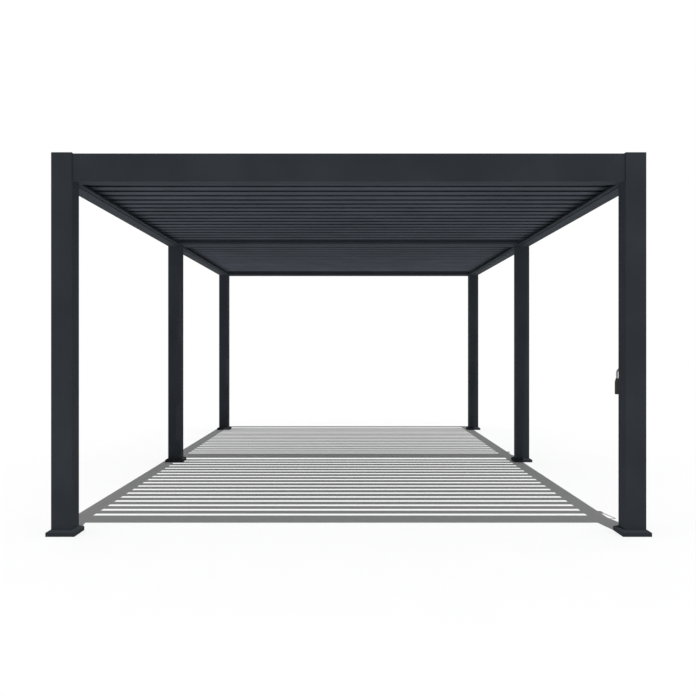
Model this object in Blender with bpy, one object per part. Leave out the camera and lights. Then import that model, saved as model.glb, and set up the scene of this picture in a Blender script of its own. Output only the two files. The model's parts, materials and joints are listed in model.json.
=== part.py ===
"""Free-standing aluminium pergola with two bays of turning louvres.

Metres, Z up. X runs across and Y along the pergola, and the front faces -Y.
The origin is on the ground in the middle. The louvres are shown partly open,
as they stand when the crank has been turned most of the way.
"""

import math

import bmesh
import bpy
from mathutils import Vector

# Overall sizes, over the outer faces of the posts and up to their caps.
WIDTH = 3.600
LENGTH = 6.000
HEIGHT = 2.320

# Posts, with a thin cap on top and a low cover round the foot.
POST_SIDE = 0.125
POST_EDGE = 0.0015
CAP_THICKNESS = 0.005
CAP_GROOVE = 0.001
COVER_OVERHANG = 0.025
COVER_EDGE_HEIGHT = 0.024
COVER_SLOPE_RISE = 0.012
COVER_FLOOR = 0.008

# Beams round the edge: an upright web with a gutter that ends flush with the posts.
BEAM_HEIGHT = 0.170
BEAM_RECESS = 0.009
WEB_THICKNESS = 0.040
GUTTER_FLOOR = 0.004
GUTTER_FLANGE = 0.023
GUTTER_STEP_RISE = 0.007
GUTTER_LIP = 0.003
GUTTER_LIP_HEIGHT = 0.018

# Middle cross beam: a box with a gutter on either side.
MIDDLE_HEIGHT = 0.152
MIDDLE_BOX = 0.094
MIDDLE_WIDTH = 0.230

# Louvre blades, measured in the closed pose from the pivot.
LOUVRE_PITCH = 0.1511
LOUVRE_SETBACK = 0.012
PIVOT_BELOW_TOP = 0.0525
END_ROOM = 0.190
BLADE_THICKNESS = 0.048
BLADE_BODY_FRONT = 0.060
CHANNEL_WIDTH = 0.008
CHANNEL_FLOOR = 0.003
BLADE_LIP = 0.003
BLADE_LIP_HEIGHT = 0.0395
BLADE_LIP_GAP = 0.0106
BLADE_PLATE = 0.003
BLADE_PLATE_GAP = 0.0052
REST_ANGLE = 75.0

# Fixed shelf between a beam and the first blade of a bay, and the slot that it leaves.
SHELF_THICKNESS = 0.003
SHELF_SLOT = 0.034

# Pivots, arms and link bars that turn the blades of a bay together.
PIVOT_RADIUS = 0.006
PIVOT_REACH = 0.012
POCKET_END_ROOM = 0.002
ARM_RADIUS = 0.040
ARM_ANGLE = -135.0
ARM_THICKNESS = 0.003
ARM_HALF_WIDTH = 0.007
ARM_PIN_RADIUS = 0.003
ARM_PIN_PROUD = 0.0015
LINK_THICKNESS = 0.006
LINK_HALF_HEIGHT = 0.008
LINK_END = 0.012
SIDE_GAP = 0.005

# Gearboxes on the right side beams, and the crank that hangs from the front one.
GEARBOX_DEPTH = 0.024
GEARBOX_LENGTH = 0.070
GEARBOX_HEIGHT = 0.110
GEARBOX_EDGE = 0.004
GEARBOX_RISE = 0.028
SLEEVE_RADIUS = 0.009
SLEEVE_LENGTH = 0.045
SLEEVE_OUT = 0.014
SOCKET_DEPTH = 0.020
ROD_RADIUS = 0.006
ROD_BEND = 0.030
CRANK_THROW = 0.074
THROW_HEIGHT = 1.005
ROD_TAIL = 0.0345
GRIP_LENGTH = 0.103
GRIP_RADIUS = 0.014
GRIP_NECK = 0.009
GRIP_TAPER = 0.012
GRIP_SOCKET = 0.020

# Gaps: where two pieces touch, and round a pin that turns.
SEAT = 0.0003
RUNNING_FIT = 0.0003

# Sides of the round pieces.
PIVOT_SIDES = 10
PIN_SIDES = 8
SLEEVE_SIDES = 12
GRIP_SIDES = 16

# Places worked out from the sizes above.
POST_X = WIDTH / 2 - POST_SIDE / 2
POST_Y = LENGTH / 2 - POST_SIDE / 2
POST_INNER_X = WIDTH / 2 - POST_SIDE
POST_INNER_Y = LENGTH / 2 - POST_SIDE
BEAM_TOP = HEIGHT - CAP_THICKNESS
BEAM_BOTTOM = BEAM_TOP - BEAM_HEIGHT
BEAM_OUT_X = WIDTH / 2 - BEAM_RECESS
BEAM_OUT_Y = LENGTH / 2 - BEAM_RECESS
WEB_IN_X = BEAM_OUT_X - WEB_THICKNESS
WEB_IN_Y = BEAM_OUT_Y - WEB_THICKNESS
MIDDLE_BOTTOM = BEAM_TOP - MIDDLE_HEIGHT
PIVOT_Z = BEAM_TOP - PIVOT_BELOW_TOP
BLADE_END_X = WEB_IN_X - 2 * SIDE_GAP - LINK_THICKNESS
LINK_IN_X = BLADE_END_X + SIDE_GAP
LINK_OUT_X = LINK_IN_X + LINK_THICKNESS
BLADE_HALF = BLADE_THICKNESS / 2
BLADE_LIP_OUT = BLADE_BODY_FRONT + CHANNEL_WIDTH + BLADE_LIP
BLADE_REAR_WALL = LOUVRE_PITCH - BLADE_LIP_OUT - BLADE_LIP_GAP
BLADE_PLATE_END = LOUVRE_PITCH - BLADE_BODY_FRONT - BLADE_PLATE_GAP
BAY_LENGTH = WEB_IN_Y - MIDDLE_BOX / 2
BAY_CENTRE = (WEB_IN_Y + MIDDLE_BOX / 2) / 2
BLADE_COUNT = 1 + int((BAY_LENGTH - 2 * END_ROOM) / LOUVRE_PITCH)
FIRST_PIVOT = LOUVRE_SETBACK - (BLADE_COUNT - 1) * LOUVRE_PITCH / 2
CRANK_X = BEAM_OUT_X + SLEEVE_OUT
BAYS = (("front", -BAY_CENTRE), ("rear", BAY_CENTRE))


def clear_scene():
    """Remove every object of the scene that is open."""
    for item in list(bpy.data.objects):
        bpy.data.objects.remove(item, do_unlink=True)


def finish(name, colour, roughness, metallic):
    """Return a Principled material with the given colour and gloss."""
    material = bpy.data.materials.new(name)
    material.use_nodes = True
    shader = material.node_tree.nodes["Principled BSDF"]
    shader.inputs["Base Color"].default_value = (*colour, 1.0)
    shader.inputs["Roughness"].default_value = roughness
    shader.inputs["Metallic"].default_value = metallic
    return material


def place(shape, name, material=None, location=(0.0, 0.0, 0.0), parent=None):
    """Turn a bmesh or a mesh into a named object at its place."""
    mesh = shape
    if isinstance(shape, bmesh.types.BMesh):
        bmesh.ops.recalc_face_normals(shape, faces=shape.faces)
        mesh = bpy.data.meshes.new(name)
        shape.to_mesh(mesh)
        shape.free()
    item = bpy.data.objects.new(name, mesh)
    if material is not None and not mesh.materials:
        mesh.materials.append(material)
    item.location = location
    item.parent = parent
    bpy.context.scene.collection.objects.link(item)
    return item


def prism(points, direction):
    """Return a bmesh of a flat outline swept along a straight direction."""
    shape = bmesh.new()
    face = shape.faces.new([shape.verts.new(point) for point in points])
    swept = bmesh.ops.extrude_face_region(shape, geom=[face])
    moved = [item for item in swept["geom"] if isinstance(item, bmesh.types.BMVert)]
    bmesh.ops.translate(shape, verts=moved, vec=direction)
    return shape


def bar_x(outline, half_length):
    """Sweep an outline of (y, z) points across the pergola."""
    points = [(-half_length, y, z) for y, z in outline]
    return prism(points, (2 * half_length, 0, 0))


def bar_y(outline, start, end):
    """Sweep an outline of (x, z) points along the pergola."""
    points = [(x, start, z) for x, z in outline]
    return prism(points, (0, end - start, 0))


def plate(outline, low, high):
    """Sweep an outline of (x, y) points upwards."""
    points = [(x, y, low) for x, y in outline]
    return prism(points, (0, 0, high - low))


def block(low, high):
    """Return a bmesh box between two corners."""
    outline = [(low[0], low[1]), (high[0], low[1]), (high[0], high[1]), (low[0], high[1])]
    return plate(outline, low[2], high[2])


def pin_x(radius, sides, start, end, y, z, shape=None):
    """Add a round pin along X to a bmesh, or to a new one."""
    shape = shape or bmesh.new()
    corners = []
    for step in range(sides):
        angle = 2 * math.pi * (step + 0.5) / sides
        corners.append((start, y + radius * math.cos(angle), z + radius * math.sin(angle)))
    face = shape.faces.new([shape.verts.new(corner) for corner in corners])
    swept = bmesh.ops.extrude_face_region(shape, geom=[face])
    moved = [item for item in swept["geom"] if isinstance(item, bmesh.types.BMVert)]
    bmesh.ops.translate(shape, verts=moved, vec=(end - start, 0, 0))
    return shape


def hole_radius(radius, sides):
    """Return the corner radius of a hole whose flats clear a turning pin."""
    return (radius + RUNNING_FIT) / math.cos(math.pi / sides)


def square_ring(half, edge, z):
    """Return eight points of a square with cut corners."""
    near = half - edge
    corners = [(half, -near), (half, near), (near, half), (-near, half)]
    corners += [(-half, near), (-half, -near), (-near, -half), (near, -half)]
    return [(x, y, z) for x, y in corners]


def round_ring(radius, sides, z):
    """Return the points of a level circle about the origin."""
    angles = [2 * math.pi * step / sides for step in range(sides)]
    return [(radius * math.cos(angle), radius * math.sin(angle), z) for angle in angles]


def stacked(rings):
    """Join rings of points into one closed body, with flat ends."""
    shape = bmesh.new()
    loops = [[shape.verts.new(point) for point in ring] for ring in rings]
    count = len(loops[0])
    for lower, upper in zip(loops, loops[1:]):
        for step in range(count):
            after = (step + 1) % count
            shape.faces.new((lower[step], lower[after], upper[after], upper[step]))
    shape.faces.new(list(reversed(loops[0])))
    shape.faces.new(loops[-1])
    return shape


def combine(target, tool, operation):
    """Join a helper to a piece, or cut the piece with it, by a Boolean."""
    tool.hide_render = True
    tool.display_type = "WIRE"
    step = target.modifiers.new(tool.name, "BOOLEAN")
    step.operation = operation
    step.solver = "EXACT"
    step.object = tool


def make_posts(coating, cover_coating, root):
    """Make the six posts and the covers round their feet."""
    half = POST_SIDE / 2
    groove_top = HEIGHT - CAP_THICKNESS
    groove_bottom = groove_top - CAP_GROOVE
    rings = [
        square_ring(half, POST_EDGE, COVER_FLOOR + SEAT),
        square_ring(half, POST_EDGE, groove_bottom),
        square_ring(half - CAP_GROOVE, POST_EDGE, groove_bottom),
        square_ring(half - CAP_GROOVE, POST_EDGE, groove_top),
        square_ring(half, POST_EDGE, groove_top),
        square_ring(half, POST_EDGE, HEIGHT - POST_EDGE),
        square_ring(half - POST_EDGE, POST_EDGE, HEIGHT),
    ]
    outer = half + COVER_OVERHANG
    socket = half + SEAT
    cover_rings = [
        square_ring(outer, POST_EDGE, 0.0),
        square_ring(outer, POST_EDGE, COVER_EDGE_HEIGHT),
        square_ring(socket, POST_EDGE, COVER_EDGE_HEIGHT + COVER_SLOPE_RISE),
        square_ring(socket, POST_EDGE, COVER_FLOOR),
    ]
    post_mesh = None
    cover_mesh = None
    for side, x in (("left", -POST_X), ("right", POST_X)):
        for row, y in (("front", -POST_Y), ("middle", 0.0), ("rear", POST_Y)):
            name = f"post_{row}_{side}"
            post = place(post_mesh or stacked(rings), name, coating, (x, y, 0), root)
            post_mesh = post.data
            name = f"base_cover_{row}_{side}"
            cover = place(cover_mesh or stacked(cover_rings), name, cover_coating, (x, y, 0), root)
            cover_mesh = cover.data


def gutter_section(sign, web_in, beam_out, gutter_in):
    """Return the outline of an edge beam, with its web on the side of sign.

    The gutter's floor steps up to a flange near its inner edge, where the lip stands.
    """
    floor_top = BEAM_BOTTOM + GUTTER_FLOOR
    flange_bottom = BEAM_BOTTOM + GUTTER_STEP_RISE
    flange_top = flange_bottom + GUTTER_FLOOR
    lip_top = BEAM_BOTTOM + GUTTER_LIP_HEIGHT
    step_in = gutter_in + GUTTER_FLANGE
    step_out = step_in + GUTTER_FLOOR
    outline = [
        (beam_out, BEAM_BOTTOM),
        (beam_out, BEAM_TOP),
        (web_in, BEAM_TOP),
        (web_in, floor_top),
        (step_out, floor_top),
        (step_out, flange_top),
        (gutter_in + GUTTER_LIP, flange_top),
        (gutter_in + GUTTER_LIP, lip_top),
        (gutter_in, lip_top),
        (gutter_in, flange_bottom),
        (step_in, flange_bottom),
        (step_in, BEAM_BOTTOM),
    ]
    return [(sign * across, z) for across, z in outline]


def shelf_outline(root_y, post_y, edge_y):
    """Return a shelf seen from above: narrow between posts, then full width."""
    narrow = POST_INNER_X - SEAT
    wide = BLADE_END_X
    right = [(narrow, root_y), (narrow, post_y), (wide, post_y), (wide, edge_y)]
    left = [(-x, y) for x, y in reversed(right)]
    return right + left


def add_shelf(beam, name, root_y, post_y, bay_start):
    """Add the flat shelf that covers most of the way to a bay's first blade."""
    edge = bay_start - BLADE_LIP_OUT - SHELF_SLOT
    low = PIVOT_Z + BLADE_HALF - SHELF_THICKNESS
    shelf = place(plate(shelf_outline(root_y, post_y, edge), low, low + SHELF_THICKNESS), name)
    combine(beam, shelf, "UNION")


def make_end_beams(coating, root):
    """Make the front beam with its shelf, and the rear beam."""
    half_length = POST_INNER_X - SEAT
    front_section = gutter_section(-1, WEB_IN_Y, BEAM_OUT_Y, POST_INNER_Y)
    front = place(bar_x(front_section, half_length), "beam_front", coating, parent=root)
    root_y = -WEB_IN_Y - WEB_THICKNESS / 2
    post_y = -POST_INNER_Y + SEAT
    add_shelf(front, "front_shelf", root_y, post_y, -BAY_CENTRE + FIRST_PIVOT)
    rear_section = gutter_section(1, WEB_IN_Y, BEAM_OUT_Y, POST_INNER_Y)
    place(bar_x(rear_section, half_length), "beam_rear", coating, parent=root)


def make_middle_beam(coating, root):
    """Make the cross beam between the middle posts, with its gutters."""
    half_length = POST_INNER_X - SEAT
    half_width = MIDDLE_WIDTH / 2
    half_box = MIDDLE_BOX / 2
    overlap = GUTTER_FLOOR / 2
    floor_top = MIDDLE_BOTTOM + GUTTER_FLOOR
    floor = block((-half_length, -half_width, MIDDLE_BOTTOM), (half_length, half_width, floor_top))
    beam = place(floor, "beam_middle", coating, parent=root)
    box_low = (-half_length, -half_box, MIDDLE_BOTTOM + overlap)
    box_high = (half_length, half_box, BEAM_TOP)
    combine(beam, place(block(box_low, box_high), "middle_box"), "UNION")
    lip_low = MIDDLE_BOTTOM + overlap
    lip_top = MIDDLE_BOTTOM + GUTTER_LIP_HEIGHT
    for side, sign in (("front", -1), ("rear", 1)):
        across = sorted((sign * half_width, sign * (half_width - GUTTER_LIP)))
        lip = block((-half_length, across[0], lip_low), (half_length, across[1], lip_top))
        combine(beam, place(lip, f"middle_lip_{side}"), "UNION")
    post_y = POST_SIDE / 2 + SEAT
    add_shelf(beam, "middle_shelf", half_box / 2, post_y, BAY_CENTRE + FIRST_PIVOT)


def make_side_beams(coating, root):
    """Make the four side beams and bore the pockets for the louvre pivots."""
    pocket = hole_radius(PIVOT_RADIUS, PIVOT_SIDES)
    pocket_end = WEB_IN_X + PIVOT_REACH + POCKET_END_ROOM
    start = POST_SIDE / 2 + SEAT
    end = POST_INNER_Y - SEAT
    for side, sign in (("left", -1), ("right", 1)):
        section = gutter_section(sign, WEB_IN_X, BEAM_OUT_X, POST_INNER_X)
        for row, bay in BAYS:
            toward = 1 if bay > 0 else -1
            body = bar_y(section, toward * start, toward * end)
            beam = place(body, f"beam_{side}_{row}", coating, parent=root)
            drill = bmesh.new()
            for step in range(BLADE_COUNT):
                y = bay + FIRST_PIVOT + step * LOUVRE_PITCH
                pin_x(
                    pocket, PIVOT_SIDES, sign * BLADE_END_X, sign * pocket_end, y, PIVOT_Z, drill,
                )
            combine(beam, place(drill, f"pockets_{side}_{row}"), "DIFFERENCE")


def blade_outline():
    """Return the outline of a closed blade about its pivot, as (y, z) points."""
    half = BLADE_HALF
    lip_in = BLADE_LIP_OUT - BLADE_LIP
    floor = -half + CHANNEL_FLOOR
    lip_top = -half + BLADE_LIP_HEIGHT
    under_plate = half - BLADE_PLATE
    return [
        (-BLADE_LIP_OUT, -half),
        (BLADE_REAR_WALL, -half),
        (BLADE_REAR_WALL, under_plate),
        (BLADE_PLATE_END, under_plate),
        (BLADE_PLATE_END, half),
        (-BLADE_BODY_FRONT, half),
        (-BLADE_BODY_FRONT, floor),
        (-lip_in, floor),
        (-lip_in, lip_top),
        (-BLADE_LIP_OUT, lip_top),
    ]


def arm_pin_place(angle):
    """Return where the arm's pin stands from the pivot at an opening angle."""
    turned = math.radians(ARM_ANGLE + angle)
    return ARM_RADIUS * math.cos(turned), ARM_RADIUS * math.sin(turned)


def arm_outline():
    """Return the arm as a bar from the pivot to the pin, as (y, z) points."""
    pin_y, pin_z = arm_pin_place(0.0)
    along = Vector((pin_y, pin_z)).normalized()
    across = Vector((-along.y, along.x)) * ARM_HALF_WIDTH
    tip = Vector((pin_y, pin_z)) + along * ARM_HALF_WIDTH
    corners = [-across, across, tip + across, tip - across]
    return [(corner.x, corner.y) for corner in corners]


def make_blade_mesh(coating):
    """Build one closed blade with its pivots, arm and arm pin about the pivot."""
    blade = place(bar_x(blade_outline(), BLADE_END_X), "blade_form", coating)
    inside = BLADE_END_X - ARM_THICKNESS
    tip = WEB_IN_X + PIVOT_REACH
    arm = prism([(inside, y, z) for y, z in arm_outline()], (ARM_THICKNESS, 0, 0))
    pin_y, pin_z = arm_pin_place(0.0)
    helpers = [
        place(arm, "arm_form"),
        place(pin_x(PIVOT_RADIUS, PIVOT_SIDES, inside, tip, 0, 0), "right_pivot_form"),
        place(pin_x(PIVOT_RADIUS, PIVOT_SIDES, -tip, -inside, 0, 0), "left_pivot_form"),
        place(
            pin_x(
                ARM_PIN_RADIUS, PIN_SIDES, inside + ARM_THICKNESS / 2,
                LINK_OUT_X + ARM_PIN_PROUD, pin_y, pin_z,
            ),
            "arm_pin_form",
        ),
    ]
    for helper in helpers:
        combine(blade, helper, "UNION")
    bpy.context.view_layer.update()
    shaped = blade.evaluated_get(bpy.context.evaluated_depsgraph_get())
    mesh = bpy.data.meshes.new_from_object(shaped)
    mesh.name = "louvre_blade"
    for item in [blade] + helpers:
        bpy.data.objects.remove(item, do_unlink=True)
    return mesh


def make_louvres(coating, root):
    """Hang the blades of both bays on their pivots, turned to the rest angle."""
    mesh = make_blade_mesh(coating)
    for row, bay in BAYS:
        for step in range(BLADE_COUNT):
            y = bay + FIRST_PIVOT + step * LOUVRE_PITCH
            name = f"louvre_{row}_{step + 1:02d}"
            blade = place(mesh, name, location=(0, y, PIVOT_Z), parent=root)
            blade.rotation_euler.x = math.radians(REST_ANGLE)


def make_link_bars(steel, root):
    """Make the flat bar that joins the arm pins of each bay."""
    length = (BLADE_COUNT - 1) * LOUVRE_PITCH
    pin_y, pin_z = arm_pin_place(REST_ANGLE)
    hole = hole_radius(ARM_PIN_RADIUS, PIN_SIDES)
    half_thickness = LINK_THICKNESS / 2
    middle_x = LINK_IN_X + half_thickness
    for row, bay in BAYS:
        low = (-half_thickness, -LINK_END, -LINK_HALF_HEIGHT)
        high = (half_thickness, length + LINK_END, LINK_HALF_HEIGHT)
        at = (middle_x, bay + FIRST_PIVOT + pin_y, PIVOT_Z + pin_z)
        bar = place(block(low, high), f"link_bar_{row}", steel, at, root)
        drill = bmesh.new()
        for step in range(BLADE_COUNT):
            y = step * LOUVRE_PITCH
            pin_x(hole, PIN_SIDES, -LINK_THICKNESS, LINK_THICKNESS, y, 0, drill)
        combine(bar, place(drill, f"link_holes_{row}", location=at), "DIFFERENCE")


def make_gearboxes(coating, root):
    """Make the worm gearboxes that drive the first blade of each bay."""
    face = BEAM_OUT_X + SEAT
    top = PIVOT_Z + GEARBOX_RISE
    bottom = top - GEARBOX_HEIGHT
    sleeve_rings = [
        round_ring(SLEEVE_RADIUS, SLEEVE_SIDES, bottom - SLEEVE_LENGTH),
        round_ring(SLEEVE_RADIUS, SLEEVE_SIDES, bottom + GEARBOX_EDGE),
    ]
    socket = hole_radius(ROD_RADIUS, SLEEVE_SIDES)
    socket_top = bottom - SLEEVE_LENGTH + SOCKET_DEPTH
    socket_rings = [
        round_ring(socket, SLEEVE_SIDES, bottom - 2 * SLEEVE_LENGTH),
        round_ring(socket, SLEEVE_SIDES, socket_top),
    ]
    for row, bay in BAYS:
        y = bay + FIRST_PIVOT
        low = (face, y - GEARBOX_LENGTH / 2, bottom)
        high = (face + GEARBOX_DEPTH, y + GEARBOX_LENGTH / 2, top)
        housing = block(low, high)
        outer = [edge for edge in housing.edges if min(vert.co.x for vert in edge.verts) > face]
        bmesh.ops.bevel(
            housing, geom=outer, offset=GEARBOX_EDGE, segments=1, affect="EDGES",
        )
        box = place(housing, f"gearbox_{row}", coating, parent=root)
        sleeve = place(stacked(sleeve_rings), f"sleeve_{row}", location=(CRANK_X, y, 0))
        combine(box, sleeve, "UNION")
        bore = place(stacked(socket_rings), f"socket_{row}", location=(CRANK_X, y, 0))
        combine(box, bore, "DIFFERENCE")


def bend(centre_x, centre_z, start, end, steps=6):
    """Return points of a bend of the crank rod in the XZ plane."""
    points = []
    for step in range(steps + 1):
        angle = math.radians(start + (end - start) * step / steps)
        points.append(
            (centre_x + ROD_BEND * math.cos(angle), 0, centre_z + ROD_BEND * math.sin(angle))
        )
    return points


def make_crank(steel, plastic, root):
    """Hang the crank from the front gearbox: rod, throw and grip on one axis."""
    y = -BAY_CENTRE + FIRST_PIVOT
    socket_floor = PIVOT_Z + GEARBOX_RISE - GEARBOX_HEIGHT - SLEEVE_LENGTH + SOCKET_DEPTH
    axis = bpy.data.objects.new("crank_axis", None)
    axis.location = (CRANK_X, y, THROW_HEIGHT)
    axis.parent = root
    bpy.context.scene.collection.objects.link(axis)

    grip_top = -ROD_BEND - ROD_TAIL
    route = [(0, 0, socket_floor - SEAT - THROW_HEIGHT)]
    route += bend(-ROD_BEND, ROD_BEND, 0, -90)
    route += bend(-CRANK_THROW + ROD_BEND, -ROD_BEND, 90, 180)
    route += [(-CRANK_THROW, 0, grip_top - GRIP_SOCKET + SEAT)]
    curve = bpy.data.curves.new("crank_rod", "CURVE")
    curve.dimensions = "3D"
    curve.bevel_depth = ROD_RADIUS
    curve.bevel_resolution = 3
    curve.use_fill_caps = True
    line = curve.splines.new("POLY")
    line.points.add(len(route) - 1)
    for point, where in zip(line.points, route):
        point.co = (*where, 1.0)
    curve.materials.append(steel)
    rod = bpy.data.objects.new("crank_rod", curve)
    rod.parent = axis
    bpy.context.scene.collection.objects.link(rod)

    bore = hole_radius(ROD_RADIUS, GRIP_SIDES)
    grip_rings = [
        round_ring(GRIP_RADIUS - GRIP_TAPER / 4, GRIP_SIDES, -GRIP_LENGTH),
        round_ring(GRIP_RADIUS, GRIP_SIDES, -GRIP_LENGTH + GRIP_TAPER / 4),
        round_ring(GRIP_RADIUS, GRIP_SIDES, -2 * GRIP_TAPER),
        round_ring(GRIP_NECK, GRIP_SIDES, -GRIP_TAPER / 2),
        round_ring(GRIP_NECK, GRIP_SIDES, 0),
        round_ring(bore, GRIP_SIDES, 0),
        round_ring(bore, GRIP_SIDES, -GRIP_SOCKET),
    ]
    at = (-CRANK_THROW, 0, grip_top)
    grip = place(stacked(grip_rings), "crank_grip", plastic, at, axis)
    grip.data.shade_smooth()
    grip.data.set_sharp_from_angle(angle=math.radians(35))


def main():
    """Build the whole pergola."""
    clear_scene()
    root = bpy.data.objects.new("pergola", None)
    bpy.context.scene.collection.objects.link(root)
    coating = finish("anthracite_coating", (0.028, 0.033, 0.039), 0.45, 0.0)
    cover_coating = finish("cover_coating", (0.030, 0.034, 0.039), 0.50, 0.0)
    blade_coating = finish("blade_coating", (0.040, 0.045, 0.053), 0.45, 0.0)
    plastic = finish("black_plastic", (0.034, 0.034, 0.034), 0.55, 0.0)
    steel = finish("zinc_plated_steel", (0.55, 0.56, 0.57), 0.35, 1.0)
    make_posts(coating, cover_coating, root)
    make_end_beams(coating, root)
    make_middle_beam(coating, root)
    make_side_beams(coating, root)
    make_louvres(blade_coating, root)
    make_link_bars(steel, root)
    make_gearboxes(plastic, root)
    make_crank(steel, plastic, root)


main()
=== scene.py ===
"""Looks of a free-standing aluminium pergola with two bays of turning louvres.

Metres, Z up. X runs across and Y along the pergola, and the front faces -Y. Each class
below is one sub-assembly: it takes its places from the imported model's nodes and joints,
and makes the pieces that are seen in their stead.
"""

import json
import logging
import math
from collections.abc import Callable
from dataclasses import dataclass
from enum import Enum
from typing import Any

import bmesh
import bpy
from mathutils import Matrix, Vector


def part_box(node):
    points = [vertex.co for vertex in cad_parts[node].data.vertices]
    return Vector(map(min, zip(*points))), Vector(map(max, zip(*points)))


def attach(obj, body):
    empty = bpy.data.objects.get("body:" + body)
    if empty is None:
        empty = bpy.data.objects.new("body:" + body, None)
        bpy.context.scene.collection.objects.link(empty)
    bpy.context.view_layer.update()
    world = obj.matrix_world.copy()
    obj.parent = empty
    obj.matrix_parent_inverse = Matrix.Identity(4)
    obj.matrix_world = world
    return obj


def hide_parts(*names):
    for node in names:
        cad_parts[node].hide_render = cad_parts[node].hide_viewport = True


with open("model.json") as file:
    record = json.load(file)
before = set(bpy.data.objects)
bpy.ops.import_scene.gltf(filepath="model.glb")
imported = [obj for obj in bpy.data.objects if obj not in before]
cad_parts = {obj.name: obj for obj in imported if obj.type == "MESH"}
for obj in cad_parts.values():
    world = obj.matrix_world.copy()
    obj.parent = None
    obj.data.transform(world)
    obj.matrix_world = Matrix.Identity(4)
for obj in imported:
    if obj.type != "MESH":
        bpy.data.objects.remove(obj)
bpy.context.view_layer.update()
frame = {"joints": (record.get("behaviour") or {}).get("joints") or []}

log = logging.getLogger("pergola")

UP = Vector((0.0, 0.0, 1.0))
ACROSS = Vector((1.0, 0.0, 0.0))
ALONG = Vector((0.0, 1.0, 0.0))
ALIGNED = 0.99               # least cosine between lines that count as parallel
SHARP = math.radians(30)     # least angle of an edge that counts as sharp
HAIR = 0.0001                # room for rounding where places are compared
MM = 0.001
NOISE_SPAN = (0.3, 0.7)      # where most of a noise's values lie


class Side(Enum):
    """The two long sides, with the sign of X on each."""

    LEFT = -1
    RIGHT = 1


class Row(Enum):
    """The three rows of posts, with the sign of Y on each."""

    FRONT = -1
    MIDDLE = 0
    REAR = 1


class Pick(Enum):
    """What the bench selects, as the mesh select mode's vertex, edge and face switches."""

    EDGES = (False, True, False)
    FACES = (False, False, True)


def linear(code: str) -> tuple[float, float, float, float]:
    """Turn an sRGB colour into the linear one that shaders take.

    Args:
        code: Six hex digits, two each for red, green and blue.

    Returns:
        Linear red, green and blue, and full opacity.
    """
    parts = [int(code[at:at + 2], 16) / 255 for at in (0, 2, 4)]
    red, green, blue = (c / 12.92 if c <= 0.04045 else ((c + 0.055) / 1.055) ** 2.4 for c in parts)
    return red, green, blue, 1.0


def add_node(tree: bpy.types.NodeTree, kind: str, settings: dict[str, Any] | None = None,
             inputs: dict[str, Any] | None = None) -> bpy.types.Node:
    """Add a node with its settings and its inputs.

    Args:
        tree: The node tree that gets the node.
        kind: The node's type name.
        settings: Values of the node's own properties.
        inputs: A value for each named input, or another node's output to link there.

    Returns:
        The new node.
    """
    node = tree.nodes.new(kind)
    for key, value in (settings or {}).items():
        setattr(node, key, value)
    for key, value in (inputs or {}).items():
        if isinstance(value, bpy.types.NodeSocket):
            tree.links.new(value, node.inputs[key])
        else:
            node.inputs[key].default_value = value
    return node


def new_tree(name: str) -> tuple[bpy.types.Material, bpy.types.NodeTree]:
    """Make an empty node material.

    Args:
        name: The material's name.

    Returns:
        The material and its node tree.
    """
    material = bpy.data.materials.new(name)
    material.use_nodes = True
    material.node_tree.nodes.clear()
    return material, material.node_tree


def close_tree(tree: bpy.types.NodeTree, surface: bpy.types.NodeSocket) -> None:
    """Link a shader to the material's output."""
    add_node(tree, "ShaderNodeOutputMaterial", inputs={"Surface": surface})


def noise(tree: bpy.types.NodeTree, place: bpy.types.NodeSocket, size_mm: float,
          detail: float) -> bpy.types.NodeSocket:
    """Add a noise with clouds of one size, and return its strength."""
    return add_node(tree, "ShaderNodeTexNoise", inputs={
        "Vector": place, "Scale": 1 / (size_mm * MM), "Detail": detail}).outputs["Fac"]


def spread(tree: bpy.types.NodeTree, value: bpy.types.NodeSocket, span: tuple[float, float],
           low: float = 0.0, high: float = 1.0) -> bpy.types.NodeSocket:
    """Map a value's span to the range from low to high."""
    return add_node(tree, "ShaderNodeMapRange", inputs={
        "Value": value, "From Min": span[0], "From Max": span[1],
        "To Min": low, "To Max": high}).outputs["Result"]


def two_tone(tree: bpy.types.NodeTree, share: bpy.types.NodeSocket, deep: str,
             pale: str) -> bpy.types.NodeSocket:
    """Mix two sRGB tones by a share, and return the colour."""
    return add_node(tree, "ShaderNodeMixRGB", inputs={
        "Fac": share, "Color1": linear(deep), "Color2": linear(pale)}).outputs["Color"]


def bumped(tree: bpy.types.NodeTree, height: bpy.types.NodeSocket, strength: float,
           height_mm: float) -> bpy.types.NodeSocket:
    """Add a bump from a height, and return the normal."""
    return add_node(tree, "ShaderNodeBump", inputs={
        "Height": height, "Strength": strength, "Distance": height_mm * MM}).outputs["Normal"]


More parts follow.
